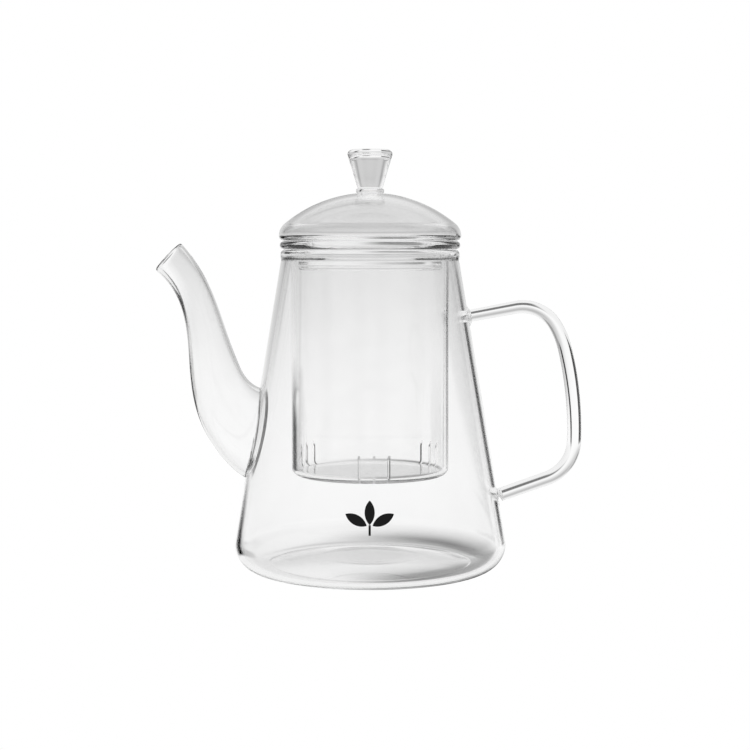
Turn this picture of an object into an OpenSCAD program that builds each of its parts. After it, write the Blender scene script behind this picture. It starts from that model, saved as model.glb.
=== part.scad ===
// Blown borosilicate glass teapot with a lift-out infuser and a lift-off lid.
// The origin is the centre of the standing ring, on the pot's own axis. +Z is up,
// the handle is at +X and the spout at -X. All sizes are in millimetres.

/* [Pot body] */
// Radius at which the floor starts to turn up into the wall
base_r = 51.5; // [50:0.5:52]
// Outside radius of the turn between floor and wall
corner_r = 11.8; // [9:0.2:13]
// How far the wall leans in from upright, in degrees
wall_lean = 9.6; // [9.2:0.1:10]
// Thickness of the blown wall
wall_t = 2.4; // [2:0.1:2.8]
// Height of the top of the rolled rim
rim_z = 148.6; // [147:0.2:150]
// Radius of the bead that rolls round the rim
rim_bead_r = 1.9; // [1.6:0.1:2.1]
// Height of the hollow pushed up under the floor
punt_h = 3.4; // [2:0.2:4]
// Radius of the flat at the top of that hollow
punt_flat_r = 20; // [14:1:26]
// Width of the ring that the pot stands on
stand_w = 5; // [4:0.5:8]

/* [Spout] */
// Thickness of the spout's wall
spout_t = 1.6; // [1.4:0.1:2]
// How much narrower than tall the spout is where it meets its weld, as a part of its height
spout_pinch = 0.26; // [0.2:0.02:0.3]
// Height of the middle of the spout's root on the wall
root_z = 63.4; // [62:0.2:64.4]
// Half the height of the spout's root
root_half_h = 21; // [20:0.5:22]
// Half the width of the spout's root
root_half_w = 14.5; // [14:0.5:16]
// Radius of the hole through the pot's wall
duct_r = 12; // [10:0.5:12]
// Rise of that hole above level, in degrees
duct_rise = 50; // [46:1:54]

/* [Handle] */
// Diameter of the bent glass rod
rod_d = 6.5; // [5.6:0.1:7]
// Where the rod leaves the upper weld: distance from the axis and height
rod_start_x = 47; // [46.8:0.1:47.6]
rod_start_z = 118.1; // [117:0.1:119]
// Rise of the rod as it leaves the upper weld, in degrees
rod_rise = 10.5; // [9:0.5:12]
// Radius of the upper weld where it sits on the wall
upper_weld_r = 4.6; // [4:0.1:5.4]
// Radius of the lower weld where it sits on the wall
lower_weld_r = 5.2; // [4.4:0.1:6]
// How far each weld reaches from the end of the rod, up to the wall and past it
upper_weld_reach = 4; // [3.8:0.1:4.6]
lower_weld_reach = 5; // [4.8:0.1:5.6]

/* [Infuser] */
// Outside diameter of the infuser's tube
tube_d = 73.4; // [70:0.2:73.6]
// Thickness of the tube
tube_t = 2; // [1.8:0.1:2]
// Height of the infuser's floor above the table
tube_floor_z = 44; // [38:1:60]
// Outside radius of the turn between tube and floor
tube_corner_r = 4; // [3:0.5:6]
// Outside diameter of the flange that hangs on the pot's rim
flange_d = 83.4; // [82:0.2:84]
// Radius of the flange's rolled edge
flange_bead_r = 1.85; // [1.5:0.05:2]
// Width of one sawn slit
slit_w = 1; // [0.8:0.1:1.6]
// Angle between neighbouring slits of a group, in degrees
slit_pitch = 10.5; // [8:0.5:12]
// Radius of the saw that cuts the slits
saw_r = 12; // [11:0.5:13]
// Height of the saw's centre above the infuser's floor
saw_rise = 4; // [3:0.2:5]
// How far the slit groups are turned from facing square to the front, in degrees
slit_turn = 3; // [0:1:10]
// Rounding between the tube and its flange
flange_fillet = 0.6; // [0.4:0.1:0.7]
// Thickness of the web between the tube and the flange's rolled edge
web_t = 2; // [1.6:0.1:2.2]

/* [Lid] */
// Diameter of the lid
lid_d = 84.2; // [83:0.2:86]
// Thickness of the lid's glass
lid_t = 2.2; // [1.8:0.1:2.4]
// Height of the top of the dome
dome_z = 174.8; // [173:0.2:177]
// Radius of the dome's crown
crown_r = 62; // [60:0.5:64]
// Outside diameter of the collar that drops into the infuser
collar_d = 66.2; // [65:0.2:68]
// Height of the collar's lower edge above the table
collar_low_z = 139.2; // [132:0.2:142]
// Radius of the collar's fire-polished edge
collar_bead_r = 1.4; // [1.2:0.1:1.5]
// Gap kept between parts that lift off each other
rest_gap = 0.2; // [0.1:0.05:0.4]

/* [Knob] */
// Diameter of the knob at its top
knob_d = 20.8; // [18:0.2:24]
// Diameter of the knob at its foot
knob_foot_d = 11.6; // [10:0.2:13]
// Height of the knob's foot above the table
knob_foot_z = 176.8; // [176:0.1:178]
// Height of the top of the knob above the table
knob_top_z = 194.5; // [192:0.5:198]
// Rounding of the knob's top edge
knob_edge_r = 2.2; // [1.4:0.2:3]
// Radius of the bead of glass that rolls out round the knob's weld
knob_bead_r = 1; // [0.6:0.1:1.2]

/* [Printed mark] */
// Length of one printed leaf
leaf_l = 10.5; // [8:0.5:13]
// Width of one printed leaf
leaf_w = 4.4; // [3:0.2:6]
// Height of the point where the leaves meet
leaf_z = 29; // [26:1:34]
// How far the side leaves lean over, in degrees
leaf_fan = 62; // [50:2:70]
// Width of the stalk, and how far it runs down
stalk_w = 1; // [0.8:0.1:1.4]
stalk_l = 4.5; // [3:0.5:6]
// Thickness of the fired print
print_t = 0.12; // [0.08:0.02:0.2]

/* [Hidden] */
$fn = 96;
glass = [0.86, 0.91, 0.92, 0.45];
sides = 36;             // points round one ring of the spout
spout_steps = 16;
flare_steps = 4;
weld_steps = 2;
rod_sides = 24;
rod_rings = 8;          // rings along each stretch of the rod
weld_reach = 0.62;      // how far the spout runs straight on before it turns to the wall
weld_from = 0.75;       // part of that turn that the spout itself makes
lip_reach = 0.014;      // part of the spout's path that the rounded lip takes
weld_gap = 0.06;        // lift that keeps the weld's flat facets out of the round wall
weld_slope = 0.4;       // how much a handle weld still widens behind the wall's face
saw_out = 0.66;         // how far outside the tube the saw's centre is, in saw radii

// The spout's silhouette, as two curves from its mouth to its weld, each [x, z]
spout_under = [[-98.4, 138.5], [-75.2, 118.1], [-92.1, 86.1], [-74.2, 59.2]];
spout_over = [[-87, 151], [-71, 133], [-70, 116.2], [-60.6, 94.2]];

// The handle's rod: length of each stretch and how far it turns there, in degrees
rod_steps = [[21, 0], [22, -71], [12, -16], [43, -15], [23, -69], [21.8, 0]];

wall_foot = [base_r + corner_r * cos(wall_lean), corner_r * (1 + sin(wall_lean))];
bead_z = rim_z - rim_bead_r;
bead_x = wall_r(bead_z) - wall_t / 2;
punt_r = base_r - stand_w;
// Full height of the punt's arc, from its rim to the level of the flat's edge
punt_arc_h = punt_h / (1 - pow(punt_flat_r / punt_r, 2));
punt_arc_r = (pow(punt_r, 2) + pow(punt_arc_h, 2)) / (2 * punt_arc_h);

tube_r = tube_d / 2;
flange_x = flange_d / 2 - flange_bead_r;
flange_z = rim_z + rest_gap + flange_bead_r;
flange_top_z = flange_z + flange_bead_r;
slit_groups = [slit_turn, slit_turn + 120, slit_turn + 240];

lid_low_z = flange_top_z + rest_gap;
lip_r = 2.4;                             // rounding under the lid's edge
lip_z = lid_low_z + lip_r;
crown_z = dome_z - crown_r;              // height of the crown's centre
// Radius of the lid's shoulder, which runs smoothly from the crown to the upright edge
shoulder_r = (pow(crown_r, 2) - pow(lid_d / 2, 2) - pow(lip_z - crown_z, 2))
    / (2 * (crown_r - lid_d / 2));
shoulder_x = lid_d / 2 - shoulder_r;

// Outside radius of the pot's wall at a height
function wall_r(z) = wall_foot[0] - (z - wall_foot[1]) * tan(wall_lean);

// Point on a cubic curve
function bezier(p, t) = pow(1 - t, 3) * p[0] + 3 * t * pow(1 - t, 2) * p[1]
    + 3 * t * t * (1 - t) * p[2] + pow(t, 3) * p[3];

function unit(v) = v / norm(v);

// Ring round the spout at t, set in from its outer face by a depth
function spout_ring(t, depth) =
    let (low = bezier(spout_under, t), high = bezier(spout_over, t),
         mid = (low + high) / 2, up = (high - low) / 2, h = norm(up) - depth,
         w = norm(up) * (1 - spout_pinch * t * t) - depth)
    [for (j = [0:sides - 1]) let (a = 360 * j / sides, d = unit(up) * h * cos(a))
        [mid[0] + d[0], w * sin(a), mid[1] + d[1]]];

// Ring where the spout's root meets the pot's wall
function root_ring(depth) =
    [for (j = [0:sides - 1])
        let (a = 360 * j / sides, y = (root_half_w - depth) * sin(a),
             z = root_z + (root_half_h - depth) * cos(a))
        [-sqrt(pow(wall_r(z) + weld_gap, 2) - y * y), y, z]];

// Ring of the flare at u, from the spout at 0 to the wall at 1: each point runs straight
// on from the spout and then turns to the wall
function flare_ring(u, depth) =
    let (from = spout_ring(1, depth), before = spout_ring(0.98, depth),
         to = root_ring(depth))
    [for (j = [0:sides - 1])
        let (turn = from[j] + unit(from[j] - before[j]) * norm(to[j] - from[j]) * weld_reach)
        pow(1 - u, 2) * from[j] + 2 * u * (1 - u) * turn + u * u * to[j]];

// The rod's place and heading after i stretches and a part of the next: [x, z, heading]
function rod_at(i, part = 0) =
    part > 0 ? rod_go(rod_at(i), part * rod_steps[i][0], part * rod_steps[i][1])
    : i > 0 ? rod_go(rod_at(i - 1), rod_steps[i - 1][0], rod_steps[i - 1][1])
    : [rod_start_x, rod_start_z, rod_rise];

// Where a stretch of the rod ends: straight on, or round an arc
function rod_go(p, run, turn) =
    let (r = turn == 0 ? 0 : run / turn * 180 / PI)
    turn == 0 ? [p[0] + run * cos(p[2]), p[1] + run * sin(p[2]), p[2]]
        : [p[0] + r * (sin(p[2] + turn) - sin(p[2])),
           p[1] - r * (cos(p[2] + turn) - cos(p[2])), p[2] + turn];

function rod_ring(p) = [for (j = [0:rod_sides - 1])
    let (a = 360 * j / rod_sides, d = rod_d / 2 * cos(a))
    [p[0] - d * sin(p[2]), rod_d / 2 * sin(a), p[1] + d * cos(p[2])]];

// Closed skin over rings whose last one joins the first
module ring_skin(rings) {
    n = len(rings);
    m = len(rings[0]);
    polyhedron(points = [for (ring = rings) each ring],
        faces = [for (i = [0:n - 1], j = [0:m - 1])
            let (k = (i + 1) % n, l = (j + 1) % m)
            each [[i * m + j, k * m + l, i * m + l], [i * m + j, k * m + j, k * m + l]]]);
}

// Closed skin over rings in a row, with a flat cap on each end
module capped_skin(rings) {
    n = len(rings);
    m = len(rings[0]);
    polyhedron(points = [for (ring = rings) each ring],
        faces = concat([[for (j = [0:m - 1]) j], [for (j = [m - 1:-1:0]) (n - 1) * m + j]],
            [for (i = [0:n - 2], j = [0:m - 1])
                let (k = i + 1, l = (j + 1) % m)
                each [[i * m + j, k * m + l, i * m + l], [i * m + j, k * m + j, k * m + l]]]));
}

// Half outline of the pot, set in by a depth from its outer face
module pot_outline(depth, top) {
    r = corner_r - depth;
    foot = [base_r + r * cos(wall_lean), corner_r + r * sin(wall_lean)];
    polygon([[0, depth], [base_r, depth], foot,
        [foot[0] - (top - foot[1]) * tan(wall_lean), top], [0, top]]);
    translate([base_r, corner_r]) circle(r);
}

// The hollow under the floor, raised by a lift
module punt_outline(lift) {
    intersection() {
        translate([0, punt_arc_h - punt_arc_r]) circle(punt_arc_r + lift, $fn = 360);
        translate([0, -1]) square([punt_r + lift, punt_h + lift + 1]);
    }
}

module body_shell() {
    color(glass) difference() {
        rotate_extrude() {
            difference() {
                intersection() {
                    pot_outline(0, bead_z);
                    square(2 * base_r + rim_z);
                }
                punt_outline(0);
                difference() {
                    pot_outline(wall_t, rim_z);
                    punt_outline(wall_t);
                }
            }
            translate([bead_x, bead_z]) circle(rim_bead_r);
        }
        translate([-wall_r(root_z), 0, root_z]) rotate([0, duct_rise - 90, 0])
            cylinder(r = duct_r, h = 3 * duct_r, center = true);
    }
}

// Rings along the spout and its flare, from the mouth on, all at one depth
function spout_rings(depth) = concat(
    [for (i = [1:spout_steps]) spout_ring(i / spout_steps, depth)],
    [for (i = [1:flare_steps]) flare_ring(weld_from * i / flare_steps, depth)]);

function reversed(list) = [for (i = [len(list) - 1:-1:0]) list[i]];

module spout() {
    lip = [spout_ring(0, spout_t * 5 / 6), spout_ring(-lip_reach, spout_t / 2),
        spout_ring(0, spout_t / 6)];
    color(glass) ring_skin(concat(lip, spout_rings(0), reversed(spout_rings(spout_t))));
}

module spout_weld() {
    steps = [for (i = [0:weld_steps]) weld_from + (1 - weld_from) * i / weld_steps];
    color(glass) ring_skin(concat([for (u = steps) flare_ring(u, 0)],
        [for (u = reversed(steps)) flare_ring(u, spout_t)]));
}

module handle_rod() {
    color(glass) capped_skin([for (i = [0:len(rod_steps)], k = [0:rod_rings - 1])
        if (i < len(rod_steps) || k == 0) rod_ring(rod_at(i, k / rod_rings))]);
}

// Gob that joins the rod to the wall: a cone on the rod's own line, cut to the wall
module weld_gob(p, r, reach) {
    difference() {
        translate([p[0], 0, p[1]]) rotate([0, -90 - p[2], 0])
            cylinder(r1 = rod_d / 2, r2 = r + reach * weld_slope, h = reach);
        rotate_extrude($fn = 360) pot_outline(0, rim_z);
    }
}

module handle_upper_weld() {
    color(glass) weld_gob(rod_at(0), upper_weld_r, upper_weld_reach);
}

module handle_lower_weld() {
    last = rod_at(len(rod_steps));
    color(glass) weld_gob([last[0], last[1], last[2] + 180], lower_weld_r, lower_weld_reach);
}

// Pointed leaf with its stalk end at the origin, growing up
module leaf(len, width) {
    r = (len * len + width * width) / (4 * width);
    translate([0, len / 2]) intersection_for(side = [-1, 1])
        translate([side * (r - width / 2), 0]) circle(r);
}

// Three leaves on a short stalk
module sprig() {
    translate([0, stalk_w]) leaf(leaf_l, leaf_w);
    for (side = [-1, 1]) rotate(side * leaf_fan) translate([0, 1.4 * stalk_w]) leaf(leaf_l, leaf_w);
    translate([-stalk_w / 2, stalk_w - stalk_l]) square([stalk_w, stalk_l]);
}

module printed_mark() {
    low = leaf_z - leaf_l;
    high = leaf_z + 2 * leaf_l;
    color("black") intersection() {
        rotate_extrude() polygon([[wall_r(low), low], [wall_r(low) + print_t, low],
            [wall_r(high) + print_t, high], [wall_r(high), high]]);
        translate([0, 0, leaf_z]) rotate([90, 0, 0]) linear_extrude(base_r + corner_r + 2) sprig();
    }
}

module infuser_outline() {
    inner = tube_r - tube_t;
    web_z = flange_z - web_t / 2;
    fillet = flange_fillet;
    difference() {
        union() {
            translate([0, tube_floor_z + tube_corner_r])
                square([tube_r, web_z + web_t - tube_floor_z - tube_corner_r]);
            translate([0, tube_floor_z]) square([tube_r - tube_corner_r, tube_corner_r]);
            translate([tube_r - tube_corner_r, tube_floor_z + tube_corner_r])
                circle(tube_corner_r);
            translate([0, web_z]) square([flange_x, web_t]);
        }
        translate([0, tube_floor_z + tube_corner_r])
            square([inner, flange_top_z - tube_floor_z]);
        translate([0, tube_floor_z + tube_t])
            square([tube_r - tube_corner_r, tube_corner_r]);
        translate([tube_r - tube_corner_r, tube_floor_z + tube_corner_r])
            circle(tube_corner_r - tube_t);
    }
    translate([flange_x, flange_z]) circle(flange_bead_r);
    difference() {
        translate([tube_r - 0.5, web_z - fillet]) square([fillet + 0.5, fillet + 0.5]);
        translate([tube_r + fillet, web_z - fillet]) circle(fillet);
        translate([tube_r - 1, web_z - fillet - 1]) square([fillet + 2, 1]);
    }
}

module infuser() {
    color(glass) difference() {
        rotate_extrude() infuser_outline();
        for (group = slit_groups, i = [-1:1])
            rotate(group + i * slit_pitch - 90)
                translate([tube_r + saw_r * saw_out, 0, tube_floor_z + saw_rise])
                rotate([90, 0, 0]) cylinder(r = saw_r, h = slit_w, center = true);
    }
}

// Half outline of the lid's bell, set in by a depth from its outer face
module bell_outline(depth) {
    join = [crown_r - depth, crown_r - depth] / norm([shoulder_x, lip_z - crown_z]);
    intersection() {
        translate([0, crown_z]) circle(crown_r - depth, $fn = 240);
        polygon([[0, lip_z], [shoulder_x, lip_z],
            [join[0] * shoulder_x, crown_z + join[1] * (lip_z - crown_z)],
            [join[0] * shoulder_x, dome_z], [0, dome_z]]);
    }
    intersection() {
        translate([shoulder_x, lip_z]) circle(shoulder_r - depth);
        translate([0, lip_z]) square(lid_d);
    }
}

module lid_dome() {
    color(glass) rotate_extrude() difference() {
        union() {
            bell_outline(0);
            translate([0, lid_low_z]) square([lid_d / 2 - lip_r, lip_r + 0.01]);
            translate([lid_d / 2 - lip_r, lip_z]) circle(lip_r);
        }
        bell_outline(lid_t);
        translate([0, lid_low_z + lid_t])
            square([lid_d / 2 - lip_r, lip_r - lid_t + 0.1]);
        translate([0, lid_low_z - 1]) square([collar_d / 2, lip_r + 2]);
    }
}

module lid_collar() {
    low = collar_low_z + collar_bead_r;
    color(glass) rotate_extrude() {
        translate([collar_d / 2 - lid_t, low]) square([lid_t, lid_low_z + lid_t - low]);
        translate([collar_d / 2 - lid_t / 2, low]) circle(collar_bead_r);
    }
}

module lid_knob_weld() {
    color(glass) rotate_extrude() difference() {
        union() {
            translate([0, dome_z - lid_t]) square([knob_foot_d / 2, knob_foot_z - dome_z + lid_t]);
            translate([knob_foot_d / 2 - 0.3 * knob_bead_r, knob_foot_z - 1.1 * knob_bead_r])
                circle(knob_bead_r);
        }
        translate([0, crown_z]) circle(crown_r, $fn = 240);
    }
}

module lid_knob() {
    r = knob_d / 2;
    color(glass) rotate_extrude() {
        polygon([[0, knob_foot_z], [knob_foot_d / 2, knob_foot_z], [r, knob_top_z - knob_edge_r],
            [r - knob_edge_r, knob_top_z], [0, knob_top_z]]);
        translate([r - knob_edge_r, knob_top_z - knob_edge_r]) circle(knob_edge_r);
    }
}

body_shell();
spout();
spout_weld();
handle_rod();
handle_upper_weld();
handle_lower_weld();
printed_mark();
infuser();
lid_dome();
lid_collar();
lid_knob_weld();
lid_knob();
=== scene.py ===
import math

import bmesh
import bpy
import numpy as np
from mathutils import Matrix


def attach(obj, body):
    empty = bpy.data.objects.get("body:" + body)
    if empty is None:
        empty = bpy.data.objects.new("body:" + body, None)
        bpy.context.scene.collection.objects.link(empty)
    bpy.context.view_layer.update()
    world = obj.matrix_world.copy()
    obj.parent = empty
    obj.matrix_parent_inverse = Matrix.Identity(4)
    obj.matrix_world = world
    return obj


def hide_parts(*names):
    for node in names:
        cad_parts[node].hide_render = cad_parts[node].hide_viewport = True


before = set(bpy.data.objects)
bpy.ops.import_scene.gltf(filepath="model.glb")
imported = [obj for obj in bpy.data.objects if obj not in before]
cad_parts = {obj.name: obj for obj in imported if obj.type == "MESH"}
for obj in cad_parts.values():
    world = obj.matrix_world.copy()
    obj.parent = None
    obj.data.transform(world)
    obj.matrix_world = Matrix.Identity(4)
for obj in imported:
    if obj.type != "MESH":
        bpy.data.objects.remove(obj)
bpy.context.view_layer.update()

# Blown glass teapot: every length is in millimetres until a mesh is made, +Z up, spout at -X.
mm = 0.001
hairline = 0.02  # air left where two melted pieces meet, so that each stays a closed piece
almost = 0.99  # share of a full rounding, so that two roundings on one short side stay apart

pot = {"baseR": 51.5, "cornerR": 11.8, "lean": math.radians(9.6), "wall": 2.4, "rimZ": 148.6,
       "beadR": 1.9, "neckDrop": 2.8, "neckEase": 1.5, "beadEase": 1.2, "puntH": 3.4, "puntFlat": 20,
       "standWidth": 5, "standEase": 5, "turns": 256}
footR = pot["baseR"] + pot["cornerR"] * math.cos(pot["lean"])
footZ = pot["cornerR"] * (1 + math.sin(pot["lean"]))


def wallR(z, inward=0.0):
    # radius of the leaning wall at a height, set in square to its face
    return footR - (z - footZ) * math.tan(pot["lean"]) - inward / math.cos(pot["lean"])


# Tools that make meshes

def roundCorners(corners, arcPoints=14, longest=6.0):
    # Outline through corners (x, z, fillet radius): each corner becomes the arc that touches
    # both its sides, and straight stretches are cut up so that none is longer than a length
    path = []
    corners = np.asarray(corners, float)
    for i, (x, z, radius) in enumerate(corners):
        here = np.array([x, z])
        if radius == 0 or i in (0, len(corners) - 1):
            path.append(here[None])
            continue
        back = corners[i - 1, :2] - here
        on = corners[i + 1, :2] - here
        back /= np.linalg.norm(back)
        on /= np.linalg.norm(on)
        half = math.acos(np.clip(back @ on, -1, 1)) / 2
        middle = here + (back + on) / np.linalg.norm(back + on) * radius / math.sin(half)
        start = here + back * radius / math.tan(half) - middle
        end = here + on * radius / math.tan(half) - middle
        sweep = math.pi - 2 * half
        t = np.linspace(0, 1, arcPoints)[:, None]
        path.append(middle + (start * np.sin((1 - t) * sweep) + end * np.sin(t * sweep))
                    / math.sin(sweep))
    path = np.vstack(path)
    steps = np.linalg.norm(np.diff(path, axis=0), axis=1)
    keep = np.r_[True, steps > 1e-4]
    path = path[keep]
    steps = np.linalg.norm(np.diff(path, axis=0), axis=1)
    along = np.r_[0, np.cumsum(steps)]
    cuts = np.maximum(1, np.ceil(steps / longest)).astype(int)
    places = np.concatenate([a + np.arange(n) * s / n for a, s, n in zip(along, steps, cuts)])
    places = np.r_[places, along[-1]]
    return np.stack([np.interp(places, along, path[:, k]) for k in (0, 1)], axis=1)


def revolve(outline, turns=256):
    # Point (r, z) of the outline goes to (r cos a, r sin a, z) for every angle a round the axis
    a = np.arange(turns) * 2 * math.pi / turns
    r, z = outline[:, 0, None], outline[:, 1, None]
    return np.stack([r * np.cos(a), r * np.sin(a), np.repeat(z, turns, axis=1)], axis=-1)


def skin(grid, loopRows=False):
    # Quads between neighbouring rows and columns of a grid of points, closed along every row, all
    # turned outwards: their volume, the sum of (a x b) . c over the triangles, has to be positive
    n, m = grid.shape[:2]
    index = np.arange(n * m).reshape(n, m)
    if loopRows:
        index = np.vstack([index, index[:1]])
    index = np.hstack([index, index[:, :1]])
    quads = np.stack([index[:-1, :-1], index[1:, :-1], index[1:, 1:], index[:-1, 1:]], axis=-1)
    quads = quads.reshape(-1, 4)
    points = grid.reshape(-1, 3)
    a, b, c, d = (points[quads[:, k]] for k in range(4))
    volume = (np.cross(a, b) * c).sum() + (np.cross(a, c) * d).sum()
    return points, quads if volume > 0 else quads[:, ::-1]


def makeMesh(name, skins):
    points = np.vstack([p for p, _ in skins])
    starts = np.cumsum([0] + [len(p) for p, _ in skins[:-1]])
    quads = np.vstack([q + s for (_, q), s in zip(skins, starts)])
    mesh = bpy.data.meshes.new(name)
    mesh.vertices.add(len(points))
    mesh.vertices.foreach_set("co", (points * mm).astype(np.float32).ravel())
    mesh.loops.add(quads.size)
    mesh.loops.foreach_set("vertex_index", quads.astype(np.int32).ravel())
    mesh.polygons.add(len(quads))
    mesh.polygons.foreach_set("loop_start", np.arange(0, quads.size, 4, dtype=np.int32))
    mesh.update(calc_edges=True)
    work = bmesh.new()
    work.from_mesh(mesh)
    bmesh.ops.remove_doubles(work, verts=work.verts, dist=1e-6)
    work.to_mesh(mesh)
    work.free()
    piece = bpy.data.objects.new(name, mesh)
    bpy.context.scene.collection.objects.link(piece)
    return piece


def combine(piece, other, operation):
    # Takes the other's volume out of the piece for good, or melts it on
    modifier = piece.modifiers.new("combine", "BOOLEAN")
    modifier.operation = operation
    modifier.solver = "EXACT"
    modifier.object = other
    graph = bpy.context.evaluated_depsgraph_get()
    mesh = bpy.data.meshes.new_from_object(piece.evaluated_get(graph))
    piece.modifiers.clear()
    piece.data = mesh
    bpy.data.objects.remove(other)


def finishPiece(piece, material, body, slot, *nodes, sharp=38):
    mesh = piece.data
    mesh.materials.clear()
    mesh.materials.append(material)
    mesh.shade_smooth()
    mesh.set_sharp_from_angle(angle=math.radians(sharp))
    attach(piece, body)
    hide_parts(*nodes)
    print("made", piece.name, "with", len(mesh.polygons), "faces")


# Materials

def hexToLinear(code):
    # sRGB hex to linear: v / 12.92 when small, else ((v + 0.055) / 1.055) ^ 2.4
    values = [int(code[i:i + 2], 16) / 255 for i in (1, 3, 5)]
    return [v / 12.92 if v <= 0.04045 else ((v + 0.055) / 1.055) ** 2.4 for v in values] + [1]


def addNode(tree, kind, settings=None, links=None):
    # settings go on the node, or on its input where a number or a name in quotes is an input's;
    # links give for each input the socket that feeds it
    node = tree.nodes.new(kind)
    for key, value in (settings or {}).items():
        if isinstance(key, int) or key in node.inputs:
            node.inputs[key].default_value = value
        else:
            setattr(node, key, value)
    for key, socket in (links or {}).items():
        tree.links.new(socket, node.inputs[key])
    return node


def makeGlass(name, look):
    # Smooth borosilicate: clear, faintly grey where it is thick, with the slow waves of glass
    # that was worked hot, and a breath of haze in places
    material = bpy.data.materials.new(name)
    material.use_nodes = True
    tree = material.node_tree
    tree.nodes.clear()
    place = addNode(tree, "ShaderNodeTexCoord")
    stretched = addNode(tree, "ShaderNodeMapping", {"Scale": look["stretch"]},
                        {"Vector": place.outputs["Object"]})
    waves = addNode(tree, "ShaderNodeTexNoise", {"Scale": 1000 / look["waveMm"], "Detail": 1.0,
                                                 "Roughness": 0.4},
                    {"Vector": stretched.outputs["Vector"]})
    haze = addNode(tree, "ShaderNodeTexNoise", {"Scale": 1000 / look["hazeMm"], "Detail": 3.0},
                   {"Vector": place.outputs["Object"]})
    tint = addNode(tree, "ShaderNodeMix", {"data_type": "RGBA", 6: hexToLinear(look["clear"]),
                                           7: hexToLinear(look["thick"])},
                   {0: haze.outputs["Fac"]})
    dull = addNode(tree, "ShaderNodeMapRange", {"From Min": 0.35, "From Max": 0.75, "To Min": 0.0,
                                                "To Max": look["haze"]},
                   {"Value": haze.outputs["Fac"]})
    bump = addNode(tree, "ShaderNodeBump", {"Strength": 1.0, "Distance": look["waveHeight"] * mm},
                   {"Height": waves.outputs["Fac"]})
    shader = addNode(tree, "ShaderNodeBsdfPrincipled",
                     {"IOR": look["ior"], "Transmission Weight": 1.0},
                     {"Base Color": tint.outputs[2], "Roughness": dull.outputs["Result"],
                      "Normal": bump.outputs["Normal"]})
    addNode(tree, "ShaderNodeOutputMaterial", None, {"Surface": shader.outputs["BSDF"]})
    return material


def makeEnamel(look):
    # Black ceramic print fired into the wall: dead black, satin, with a dusty edge to its gloss
    material = bpy.data.materials.new("firedBlackEnamel")
    material.use_nodes = True
    tree = material.node_tree
    tree.nodes.clear()
    place = addNode(tree, "ShaderNodeTexCoord")
    grain = addNode(tree, "ShaderNodeTexNoise", {"Scale": 1000 / look["grainMm"], "Detail": 2.0},
                    {"Vector": place.outputs["Object"]})
    ink = addNode(tree, "ShaderNodeMix", {"data_type": "RGBA", 6: hexToLinear(look["dark"]),
                                          7: hexToLinear(look["light"])},
                  {0: grain.outputs["Fac"]})
    gloss = addNode(tree, "ShaderNodeMapRange", {"To Min": look["glossy"], "To Max": look["matt"]},
                    {"Value": grain.outputs["Fac"]})
    bump = addNode(tree, "ShaderNodeBump", {"Strength": 0.4, "Distance": look["grainHeight"] * mm},
                   {"Height": grain.outputs["Fac"]})
    shader = addNode(tree, "ShaderNodeBsdfPrincipled",
                     {"IOR": 1.5, "Specular IOR Level": 0.2},
                     {"Base Color": ink.outputs[2], "Roughness": gloss.outputs["Result"],
                      "Normal": bump.outputs["Normal"]})
    addNode(tree, "ShaderNodeOutputMaterial", None, {"Surface": shader.outputs["BSDF"]})
    return material


blownGlass = makeGlass("blownBorosilicate", {
    "clear": "#FFFFFF", "thick": "#FCFCFC", "ior": 1.47, "stretch": (1, 1, 0.6),
    "waveMm": 34, "waveHeight": 0.05, "hazeMm": 9, "haze": 0.012})
drawnGlass = makeGlass("drawnBorosilicateTube", {
    "clear": "#FFFFFF", "thick": "#FCFCFC", "ior": 1.47, "stretch": (1, 1, 0.12),
    "waveMm": 12, "waveHeight": 0.008, "hazeMm": 7, "haze": 0.012})
rodGlass = makeGlass("bentBorosilicateRod", {
    "clear": "#FFFFFF", "thick": "#FCFCFC", "ior": 1.47, "stretch": (1, 1, 1),
    "waveMm": 9, "waveHeight": 0.01, "hazeMm": 4, "haze": 0.012})
enamel = makeEnamel({"dark": "#040404", "light": "#0C0C0C", "grainMm": 0.35,
                     "glossy": 0.4, "matt": 0.6, "grainHeight": 0.01})
print("materials ready")


# The pot's blown body

def puntArc(lift):
    # The hollow under the floor is a piece of a sphere through the standing ring, cut flat
    # at its top: z = centre + sqrt(radius^2 - r^2)
    rim = pot["baseR"] - pot["standWidth"]
    full = pot["puntH"] / (1 - (pot["puntFlat"] / rim) ** 2)
    radius = (rim ** 2 + full ** 2) / (2 * full)
    r = np.linspace(pot["puntFlat"], rim, 9)
    z = full - radius + np.sqrt((radius + lift) ** 2 - r ** 2)
    flat = [(0, pot["puntH"] + lift, 0)]
    return flat + [(x, min(y, pot["puntH"] + lift), 0) for x, y in zip(r, z)]


def makeBody():
    wall, bead = pot["wall"], pot["beadR"]
    beadZ = pot["rimZ"] - bead
    beadX = wallR(beadZ) - wall / 2
    neckZ = beadZ - pot["neckDrop"]
    neckEase, beadEase = pot["neckEase"], pot["beadEase"]
    standR = pot["baseR"] - pot["standWidth"]
    outer = puntArc(0)[:-1] + [(standR, 0, pot["standEase"]), (wallR(0), 0, pot["cornerR"])]
    rim = [(wallR(neckZ), neckZ, neckEase), (beadX + bead, beadZ - beadEase, beadEase),
           (beadX + bead, beadZ + bead, bead), (beadX - bead, beadZ + bead, bead * almost),
           (beadX - bead, beadZ - beadEase, beadEase), (wallR(neckZ, wall), neckZ, neckEase)]
    inner = [(wallR(wall, wall), wall, pot["cornerR"] - wall),
             (standR + 1, wall, pot["standEase"])] + puntArc(wall)[-2::-1]
    return makeMesh("potBody", [skin(revolve(roundCorners(outer + rim + inner), pot["turns"]))])


# The spout, drawn from one side curve under it and one over it, both [x, z] from the mouth

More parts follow.
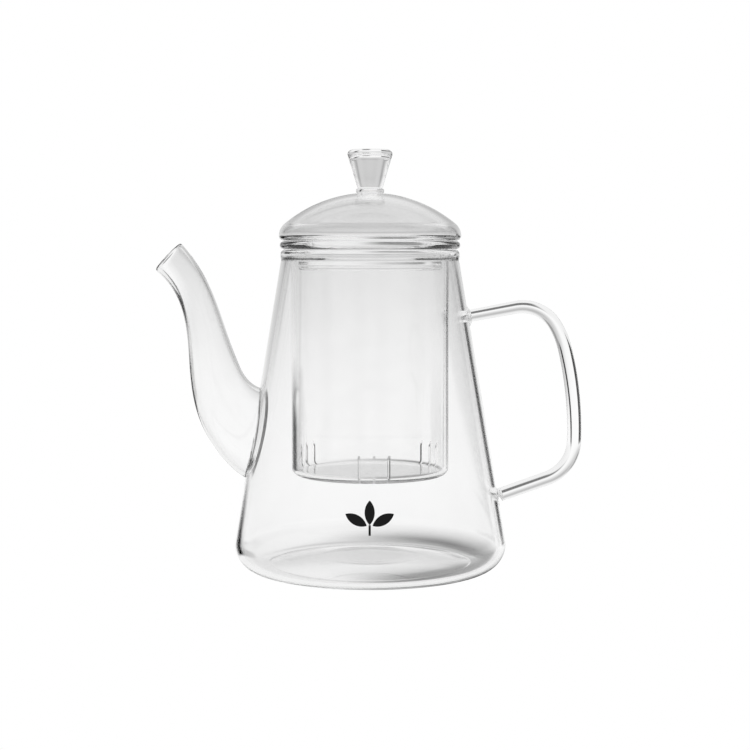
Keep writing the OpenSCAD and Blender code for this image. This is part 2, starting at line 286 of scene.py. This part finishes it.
spout = {"wall": 1.6, "pinch": 0.26, "lip": 0.014, "reach": 0.62, "bite": 1.2,
         "under": [(-98.4, 138.5), (-75.2, 118.1), (-92.1, 86.1), (-74.2, 59.2)],
         "over": [(-87, 151), (-71, 133), (-70, 116.2), (-60.6, 94.2)],
         "rootZ": 63.4, "rootHalfHeight": 21, "rootHalfWidth": 14.5, "sides": 96, "steps": 64}
around = np.arange(spout["sides"]) * 2 * math.pi / spout["sides"]


def holeLoop(x, size):
    # Ring of the hole through the wall, an ellipse seen along X, at one x and a share of its size
    halfY = (spout["rootHalfWidth"] - spout["wall"] - hairline) * size
    halfZ = (spout["rootHalfHeight"] - spout["wall"] - hairline) * size
    return np.stack([np.full_like(around, x), halfY * np.sin(around),
                     spout["rootZ"] + halfZ * np.cos(around)], axis=-1)[None]


def bezier(points, t):
    # Cubic curve: each control point weighs by its Bernstein polynomial
    p = np.asarray(points, float)
    t = np.asarray(t, float)[:, None]
    return (1 - t) ** 3 * p[0] + 3 * t * (1 - t) ** 2 * p[1] + 3 * t * t * (1 - t) * p[2] + t ** 3 * p[3]


def spoutRings(t, depth):
    # Ring at t: centred between the two side curves, as tall as the gap between them and a
    # little narrower towards the root, set in from the outer face by a depth
    low, high = bezier(spout["under"], t), bezier(spout["over"], t)
    half = np.linalg.norm(high - low, axis=1)[:, None] / 2
    up = (high - low) / (2 * half)
    middle = (low + high) / 2
    depth = np.broadcast_to(depth, half.shape[:1])[:, None]
    tall = half - depth
    wide = half * (1 - spout["pinch"] * np.asarray(t)[:, None] ** 2) - depth
    x = middle[:, :1] + up[:, :1] * tall * np.cos(around)
    z = middle[:, 1:] + up[:, 1:] * tall * np.cos(around)
    return np.stack([x, wide * np.sin(around), z], axis=-1)


def rootRing(depth):
    # Ring on the pot's wall: an ellipse seen along X, laid on the cone
    y = (spout["rootHalfWidth"] - depth) * np.sin(around)
    z = spout["rootZ"] + (spout["rootHalfHeight"] - depth) * np.cos(around)
    return np.stack([-np.sqrt(wallR(z) ** 2 - y ** 2), y, z], axis=-1)


def flareRings(u, depth):
    # Each point runs straight on from the spout and then turns to the wall: a quadratic curve
    # from the spout's last ring to the root ring
    start = spoutRings([1.0], depth)[0]
    before = spoutRings([0.98], depth)[0]
    end = rootRing(depth)
    ahead = (start - before) / np.linalg.norm(start - before, axis=1)[:, None]
    turn = start + ahead * np.linalg.norm(end - start, axis=1)[:, None] * spout["reach"]
    u = np.asarray(u)[:, None, None]
    return (1 - u) ** 2 * start + 2 * u * (1 - u) * turn + u * u * end


def makeSpout(body):
    # One skin from the root up the outside, over the lip and down the inside. Its root goes a
    # little way into the wall, and is melted into it there: the wall's hole is cut first
    wall = spout["wall"]
    t = np.linspace(0, 1, spout["steps"])[1:]
    u = np.linspace(0, 1, 24)[1:]
    turn = np.linspace(math.pi, 0, 13)
    lip = spoutRings(-spout["lip"] * np.sin(turn), wall / 2 * (1 - np.cos(turn)))
    rootOut, rootIn = (rootRing(depth)[None] + (spout["bite"], 0, 0) for depth in (0, wall))
    outer = np.concatenate([spoutRings(t, 0), flareRings(u, 0), rootOut])
    inner = np.concatenate([spoutRings(t, wall), flareRings(u, wall), rootIn])
    tube = makeMesh("spoutTube", [skin(np.concatenate([lip, outer, inner[::-1]]), loopRows=True)])
    hole = makeMesh("spoutHole", [skin(np.concatenate([
        holeLoop(-40, 0), holeLoop(-40, 1), holeLoop(-80, 1), holeLoop(-80, 0)]))])
    combine(body, hole, "DIFFERENCE")
    combine(body, tube, "UNION")
    finishPiece(body, blownGlass, "pot", "pot_glass", "body_shell", "spout", "spout_weld")


# The handle: a rod bent in stretches, each a length and a turn in degrees, thinner at its start

handle = {"startX": 47, "startZ": 118.1, "rise": math.radians(10.5), "sides": 48, "ringEvery": 0.8,
          "stretches": [(21, 0), (22, -71), (12, -16), (43, -15), (23, -69), (21.8, 0)],
          "thick": [(0, 2.72), (0.25, 3.05), (0.45, 3.3), (0.75, 3.3), (0.9, 3.1), (1, 3.05)],
          "upperWeld": 4.6, "lowerWeld": 5.2, "swell": 1.1,
          "runOn": 0.85}
ringAngles = np.arange(handle["sides"]) * 2 * math.pi / handle["sides"]


def rodPath():
    # The heading stays along straight stretches and turns evenly along the bends. The path is
    # the sum of small steps along the heading
    lengths = [length for length, _ in handle["stretches"]]
    turns = [math.radians(turn) for _, turn in handle["stretches"]]
    stations = np.r_[0, np.cumsum(lengths)]
    headings = handle["rise"] + np.r_[0, np.cumsum(turns)]
    s = np.linspace(0, stations[-1], int(stations[-1] / handle["ringEvery"]) + 1)
    fine = np.linspace(0, stations[-1], len(s) * 20)
    heading = np.interp(fine, stations, headings)
    step = fine[1] - fine[0]
    x = handle["startX"] + np.r_[0, np.cumsum((np.cos(heading[1:]) + np.cos(heading[:-1])) / 2)] * step
    z = handle["startZ"] + np.r_[0, np.cumsum((np.sin(heading[1:]) + np.sin(heading[:-1])) / 2)] * step
    return s / stations[-1], np.interp(s, fine, x), np.interp(s, fine, z), np.interp(s, fine, heading)


def crossRings(x, z, heading, radius):
    # Circles square to the heading, which lies in the XZ plane
    x, z, heading, radius = (np.asarray(v, float).reshape(-1, 1) for v in (x, z, heading, radius))
    side = radius * np.cos(ringAngles)
    return np.stack([x - side * np.sin(heading), radius * np.sin(ringAngles) + 0 * x,
                     z + side * np.cos(heading)], axis=-1)


def makeHandle():
    s, x, z, heading = rodPath()
    places, radii = zip(*handle["thick"])
    smooth = np.convolve(np.pad(np.interp(s, places, radii), 12, "edge"), np.ones(25) / 25, "valid")
    rings = crossRings(x, z, heading, smooth)
    grid = np.concatenate([crossRings(x[0], z[0], heading[0], 0), rings,
                           crossRings(x[-1], z[-1], heading[-1], 0)])
    finishPiece(makeMesh("handleRod", [skin(grid)]), rodGlass, "pot", "pot_glass", "handle_rod")
    makeWeld("handleUpperWeld", "handle_upper_weld", rings[0], (x[0], z[0], heading[0] + math.pi),
             smooth[0], handle["upperWeld"])
    makeWeld("handleLowerWeld", "handle_lower_weld", rings[-1], (x[-1], z[-1], heading[-1]),
             smooth[-1], handle["lowerWeld"])


def makeWeld(name, node, rodRing, end, rodR, footR):
    # A gob between the rod's end and the wall: its side is a quadratic curve from the rod's edge
    # along the rod to a circle laid on the cone, and both its ends are closed
    x, z, heading = end
    ahead = np.array([math.cos(heading), 0, math.sin(heading)])
    centre = np.array([x, 0, z])
    reach = (x - wallR(z)) / -math.cos(heading)
    foot = centre + ahead * reach

    def onWall(radius):
        y = radius * np.sin(ringAngles)
        up = foot[2] + radius * np.cos(ringAngles)
        return np.stack([np.sqrt((wallR(up) + hairline) ** 2 - y ** 2), y, up], axis=-1)

    start = centre + ahead * hairline + (rodRing - centre)
    finish = onWall(footR)
    turn = start + ahead * reach * handle["runOn"]
    u = np.linspace(0, 1, 14)[:, None, None]
    side = (1 - u) ** 2 * start + 2 * u * (1 - u) * turn + u * u * finish
    side += handle["swell"] * np.sin(math.pi * u) ** 2 * (rodRing - centre) / rodR
    inside = np.stack([onWall(footR * share) for share in (0.75, 0.5, 0.25, 0)])
    cap = np.broadcast_to(centre + ahead * hairline, start.shape)[None]
    grid = np.concatenate([cap, side, inside])
    finishPiece(makeMesh(name, [skin(grid)]), rodGlass, "pot", "pot_glass", node)


# The printed mark: a generic sprig of three leaves

mark = {"leafLength": 10.5, "leafWidth": 4.4, "z": 29, "thick": 0.12, "fan": 62,
        "middleFoot": 1, "sideFoot": 1.4, "stalkWidth": 1, "stalkLength": 4.5}


def printedShape(along, halfWidth, angle, start):
    # Flat shape with a half width at each place along its middle line, turned about the foot
    # of the sprig and wrapped on the wall: x and z are kept, y follows from the wall's radius
    across = np.linspace(-1, 1, 9)
    along = along + start
    turn = math.radians(angle)
    rows = []
    for lift, order in ((hairline + mark["thick"], across), (hairline, across[::-1])):
        x = halfWidth[:, None] * order * math.cos(turn) - along[:, None] * math.sin(turn)
        z = mark["z"] + halfWidth[:, None] * order * math.sin(turn) + along[:, None] * math.cos(turn)
        rows.append(np.stack([x, -np.sqrt((wallR(z) + lift) ** 2 - x ** 2), z], axis=-1))
    return np.concatenate(rows, axis=1)


def makeMark():
    # A leaf lies between two equal arcs: half width = sqrt(R^2 - (s - L/2)^2) - (R - W/2)
    length, width = mark["leafLength"], mark["leafWidth"]
    radius = (length ** 2 + width ** 2) / (4 * width)
    s = np.linspace(0, length, 25)
    half = np.maximum(np.sqrt(radius ** 2 - (s - length / 2) ** 2) - (radius - width / 2), 0)
    half[[0, -1]] = 0
    shapes = [printedShape(s, half, angle, start)
              for angle, start in ((0, mark["middleFoot"]), (mark["fan"], mark["sideFoot"]),
                                   (-mark["fan"], mark["sideFoot"]))]
    s = np.linspace(0, mark["stalkLength"], 9)
    half = np.full(9, mark["stalkWidth"] / 2)
    stalk = printedShape(s, half, 0, mark["middleFoot"] - mark["stalkLength"])
    ends = [np.broadcast_to(stalk[k].mean(axis=0), stalk[k].shape)[None] for k in (0, -1)]
    shapes.append(np.concatenate([ends[0], stalk, ends[1]]))
    finishPiece(makeMesh("printedSprig", [skin(shape) for shape in shapes]),
                enamel, "pot", "black_print", "printed_mark")


makeSpout(makeBody())
makeHandle()
makeMark()
print("pot ready")


# The infuser

infuser = {"tubeR": 36.7, "wall": 2, "floorZ": 44, "cornerR": 4, "flangeR": 41.7, "beadR": 1.85,
           "fillet": 0.6, "web": 2, "webEase": 0.4, "neckEase": 0.7, "mouthEase": 1.6, "slitWidth": 1,
           "slitPitch": 10.5, "sawR": 12, "sawRise": 4, "sawOut": 0.66, "groups": (3, 123, 243)}
flangeZ = pot["rimZ"] + 0.2 + infuser["beadR"]


def makeInfuser():
    r, wall, bead = infuser["tubeR"], infuser["wall"], infuser["beadR"]
    floor, edge = infuser["floorZ"], infuser["flangeR"]
    neck = edge - 2 * bead
    under, over = flangeZ - infuser["web"] / 2, flangeZ + infuser["web"] / 2
    webEase, neckEase = infuser["webEase"], infuser["neckEase"]
    outer = [(0, floor, 0), (r, floor, infuser["cornerR"]), (r, under, infuser["fillet"]),
             (neck - webEase, under, webEase), (neck, flangeZ - bead, neckEase),
             (edge, flangeZ - bead, bead * almost), (edge, flangeZ + bead, bead * almost),
             (neck, flangeZ + bead, neckEase), (neck - webEase, over, webEase)]
    inner = [(r - wall, over, infuser["mouthEase"]),
             (r - wall, floor + wall, infuser["cornerR"] - wall), (0, floor + wall, 0)]
    piece = makeMesh("infuserTube", [skin(revolve(roundCorners(outer + inner)))])
    for group in infuser["groups"]:
        for i in (-1, 0, 1):
            combine(piece, sawDisc(math.radians(group + i * infuser["slitPitch"] - 90)), "DIFFERENCE")
    finishPiece(piece, drawnGlass, "infuser", "infuser_glass", "infuser")


def sawDisc(angle):
    # Flat disc that stands on edge, its middle outside the tube at one angle round the axis
    turn = np.arange(96) * 2 * math.pi / 96
    reach = infuser["tubeR"] + infuser["sawR"] * infuser["sawOut"]
    rings = []
    for radius, side in ((0, -1), (1, -1), (1, 1), (0, 1)):
        r = reach + infuser["sawR"] * radius * np.cos(turn)
        across = np.full_like(r, side * infuser["slitWidth"] / 2)
        z = infuser["floorZ"] + infuser["sawRise"] + infuser["sawR"] * radius * np.sin(turn)
        rings.append(np.stack([r * math.cos(angle) - across * math.sin(angle),
                               r * math.sin(angle) + across * math.cos(angle), z], axis=-1))
    return makeMesh("saw", [skin(np.stack(rings))])


makeInfuser()
print("infuser ready")


# The lid and its knob

lid = {"r": 42.1, "wall": 2.2, "top": 174.8, "crownR": 62, "lipR": 2.4, "collarR": 33.1,
       "collarLow": 139.2, "collarBead": 1.4}
knob = {"r": 10.4, "footR": 5.8, "footZ": 176.8, "top": 194.5, "edge": 2.2, "neckEase": 4,
        "tuck": 0.3, "roll": 0.7, "rollHeight": 1.65, "rollTop": 0.35, "ease": 0.6}
lidLow = flangeZ + infuser["beadR"] + 0.2


def bellArc(inset):
    # From the axis: the crown's arc, and from where it touches the shoulder's arc, that one
    # down to the upright edge of the lid
    lipZ, crownZ = lidLow + lid["lipR"], lid["top"] - lid["crownR"]
    shoulder = ((lid["crownR"] ** 2 - lid["r"] ** 2 - (lipZ - crownZ) ** 2)
                / (2 * (lid["crownR"] - lid["r"])))
    shoulderX = lid["r"] - shoulder
    join = math.atan2(shoulderX, lipZ - crownZ)
    a = np.linspace(0, join, 40)
    b = np.linspace(join, math.pi / 2, 24)
    crown = np.stack([np.sin(a), np.cos(a)], axis=1) * (lid["crownR"] - inset) + (0, crownZ)
    side = np.stack([np.sin(b), np.cos(b)], axis=1) * (shoulder - inset) + (shoulderX, lipZ)
    return [(x, z, 0) for x, z in np.vstack([crown, side[1:]])]


def makeLid():
    wall, low = lid["wall"], lidLow
    inside = lid["collarR"] + hairline
    edge = [(lid["r"], low, lid["lipR"] * almost), (inside, low, 0), (inside, low + wall, 0),
            (lid["r"] - wall - 0.6, low + wall, 0.5)]
    outline = roundCorners(bellArc(0) + edge + bellArc(wall)[::-1])
    finishPiece(makeMesh("lidDome", [skin(revolve(outline))]),
                blownGlass, "lid", "lid_glass", "lid_dome")

    bead, bottom = lid["collarBead"], lid["collarLow"]
    middle = lid["collarR"] - wall / 2
    outline = roundCorners([
        (lid["collarR"], low + wall - 1, 0), (lid["collarR"], bottom + 2 * bead + 1, 1),
        (middle + bead, bottom + 2 * bead - 0.4, 0.7), (middle + bead, bottom, bead * almost),
        (middle - bead, bottom, bead * almost), (middle - bead, bottom + 2 * bead - 0.4, 0.7),
        (middle - wall / 2, bottom + 2 * bead + 1, 1), (middle - wall / 2, low + wall, 0.5),
        (lid["collarR"], low + wall, 0), (lid["collarR"], low + wall - 0.9, 0)])
    finishPiece(makeMesh("lidCollar", [skin(revolve(outline), loopRows=True)]),
                drawnGlass, "lid", "lid_glass", "lid_collar")


def makeKnob():
    crownZ = lid["top"] - lid["crownR"]
    waist, roll, ease = knob["footR"] - knob["tuck"], knob["footR"] + knob["roll"], knob["ease"]
    r = np.linspace(0, waist, 12)
    seat = np.stack([r, crownZ + np.sqrt(lid["crownR"] ** 2 - r ** 2) + hairline], axis=1)
    topZ = knob["footZ"] - hairline
    rollZ = topZ - knob["rollTop"]
    side = [(waist, seat[-1, 1], 0), (roll, rollZ - knob["rollHeight"], ease), (roll, rollZ, ease),
            (waist, topZ, knob["tuck"]), (0, topZ, 0)]
    outline = roundCorners([(x, z, 0) for x, z in seat[:-1]] + side)
    finishPiece(makeMesh("knobWeld", [skin(revolve(outline, 128))]),
                rodGlass, "lid", "lid_glass", "lid_knob_weld")

    foot, top, wide = knob["footZ"], knob["top"], knob["r"]
    outline = roundCorners([(0, foot, 0), (knob["footR"], foot, ease),
                            (wide, top - knob["edge"], knob["neckEase"]), (wide, top, knob["edge"]),
                            (0, top, 0)])
    finishPiece(makeMesh("lidKnob", [skin(revolve(outline, 192))]),
                rodGlass, "lid", "lid_glass", "lid_knob")


makeLid()
makeKnob()
print("lid ready")


# The studio: light levels are (height in degrees, grey), flags are in degrees of bearing to the
# right of +Y and of height, each with a soft edge and the share of light it lets through

studio = {"cameraAt": (2.3, -764, 148.4), "pitch": 4.34, "lens": 79, "floorSize": 40000,
          "levels": [(-90, 0.9), (-28, 0.9), (-20, 0.88), (-10, 0.95), (-8, 1.0), (-5, 0.98),
                     (-3, 0.93), (-1, 0.84), (1, 0.78), (6, 0.72), (18, 0.68), (32, 0.86), (50, 0.96),
                     (90, 0.96)],
          "flags": [{"aside": (25, 34), "rise": (-8, 4), "soft": (1.5, 2.5), "slant": 0.9, "grey": 0.0},
                    {"aside": (-66, -21), "rise": (-15.5, -4.5), "soft": (2, 1.5), "slant": 0, "grey": 0.0},
                    {"aside": (0, 14), "rise": (-28, -12), "soft": (3, 3), "slant": 0, "grey": 0.15},
                    {"aside": (-16, 16), "rise": (6, 20), "soft": (5, 4), "slant": 0, "grey": 0.75},
                    {"aside": (30, 52), "rise": (5, 26), "soft": (5, 3), "slant": 0, "grey": 0.5},
                    {"aside": (-52, -30), "rise": (5, 26), "soft": (5, 3), "slant": 0, "grey": 0.5},
                    {"aside": (14, 110), "rise": (-2, 26), "soft": (16, 4), "slant": 0, "grey": 0.8},
                    {"aside": (-110, -14), "rise": (-2, 26), "soft": (16, 4), "slant": 0,
                     "grey": 0.8},
                    {"aside": (98, 115), "rise": (-22, 4), "soft": (7, 4), "slant": 0, "grey": 0.75},
                    {"aside": (155, 172), "rise": (-22, 4), "soft": (7, 4), "slant": 0, "grey": 0.75},
                    {"aside": (-120, -106), "rise": (-15, 4), "soft": (6, 4), "slant": 0, "grey": 0.75}]}


def makeWorld():
    # Seen straight, the studio is plain white. What the glass bends and mirrors is a soft wall
    # of light, greyer upwards, with dark flags at the sides that draw the edges
    world = bpy.data.worlds.new("softStudio")
    bpy.context.scene.world = world
    world.use_nodes = True
    tree = world.node_tree
    tree.nodes.clear()
    place = addNode(tree, "ShaderNodeTexCoord")
    axes = addNode(tree, "ShaderNodeSeparateXYZ", None, {0: place.outputs["Generated"]})
    rise = addNode(tree, "ShaderNodeMath", {"operation": "ARCSINE"}, {0: axes.outputs["Z"]})
    aside = addNode(tree, "ShaderNodeMath", {"operation": "ARCTAN2"},
                    {0: axes.outputs["X"], 1: axes.outputs["Y"]})
    level = addNode(tree, "ShaderNodeMapRange", {"From Min": -math.pi / 2, "From Max": math.pi / 2},
                    {"Value": rise.outputs[0]})
    ramp = addNode(tree, "ShaderNodeValToRGB", None, {"Fac": level.outputs["Result"]})
    stops = ramp.color_ramp.elements
    stops.remove(stops[1])
    for i, (degrees, grey) in enumerate(studio["levels"]):
        stop = stops[0] if i == 0 else stops.new((degrees + 90) / 180)
        stop.position = (degrees + 90) / 180
        stop.color = (grey, grey, grey, 1)
    light = ramp.outputs["Color"]
    for flag in studio["flags"]:
        light = addFlag(tree, flag, aside.outputs[0], rise.outputs[0], light)
    path = addNode(tree, "ShaderNodeLightPath")
    seen = addNode(tree, "ShaderNodeMix", {"data_type": "RGBA", 7: (1, 1, 1, 1)},
                   {0: path.outputs["Is Camera Ray"], 6: light})
    lamp = addNode(tree, "ShaderNodeBackground", None, {"Color": seen.outputs[2]})
    addNode(tree, "ShaderNodeOutputWorld", None, {"Surface": lamp.outputs["Background"]})


def addFlag(tree, flag, aside, rise, light):
    # A soft-edged patch of the sky between two bearings and two heights, which a slant shifts
    # sideways as it rises: light falls to a share of grey inside it
    moved = addNode(tree, "ShaderNodeMath", {"operation": "MULTIPLY_ADD", 1: -flag["slant"]},
                    {0: rise, 2: aside})
    covers = None
    for angle, (low, high), soft in ((moved.outputs[0], flag["aside"], flag["soft"][0]),
                                     (rise, flag["rise"], flag["soft"][1])):
        away = addNode(tree, "ShaderNodeMath", {"operation": "SUBTRACT",
                                                1: math.radians((low + high) / 2)}, {0: angle})
        apart = addNode(tree, "ShaderNodeMath", {"operation": "ABSOLUTE"}, {0: away.outputs[0]})
        half = (high - low) / 2
        edge = addNode(tree, "ShaderNodeMapRange",
                       {"interpolation_type": "SMOOTHSTEP", "From Min": math.radians(half - soft),
                        "From Max": math.radians(half + soft), "To Min": 1.0, "To Max": 0.0},
                       {"Value": apart.outputs[0]}).outputs["Result"]
        covers = edge if covers is None else addNode(
            tree, "ShaderNodeMath", {"operation": "MULTIPLY"}, {0: covers, 1: edge}).outputs[0]
    shade = addNode(tree, "ShaderNodeMapRange", {"To Min": 1.0, "To Max": flag["grey"]},
                    {"Value": covers})
    return addNode(tree, "ShaderNodeVectorMath", {"operation": "MULTIPLY"},
                   {0: light, 1: shade.outputs["Result"]}).outputs[0]


def makeFloor():
    half = studio["floorSize"] / 2
    corners = np.array([[(-half, -half, 0), (half, -half, 0)], [(-half, half, 0), (half, half, 0)]])
    points, quads = corners.reshape(-1, 3), np.array([[0, 1, 3, 2]])
    floor = makeMesh("floor", [(points, quads)])
    paper = bpy.data.materials.new("whitePaper")
    paper.use_nodes = True
    tree = paper.node_tree
    tree.nodes.clear()
    lamp = addNode(tree, "ShaderNodeEmission", {"Color": (1, 1, 1, 1)})
    addNode(tree, "ShaderNodeOutputMaterial", None, {"Surface": lamp.outputs["Emission"]})
    floor.data.materials.append(paper)
    floor.visible_glossy = False
    floor.visible_transmission = False
    floor.visible_diffuse = False


def makeCamera():
    data = bpy.data.cameras.new("camera")
    data.lens = studio["lens"]
    data.sensor_width = 36
    data.clip_start = 0.01
    camera = bpy.data.objects.new("camera", data)
    camera.location = [v * mm for v in studio["cameraAt"]]
    camera.rotation_euler = (math.radians(90 - studio["pitch"]), 0, 0)
    bpy.context.scene.collection.objects.link(camera)
    bpy.context.scene.camera = camera


makeWorld()
makeFloor()
makeCamera()
scene = bpy.context.scene
scene.view_settings.view_transform = "Standard"
scene.cycles.max_bounces = 32
scene.cycles.transmission_bounces = 32
scene.cycles.glossy_bounces = 16
scene.cycles.sample_clamp_indirect = 0
print("studio ready")
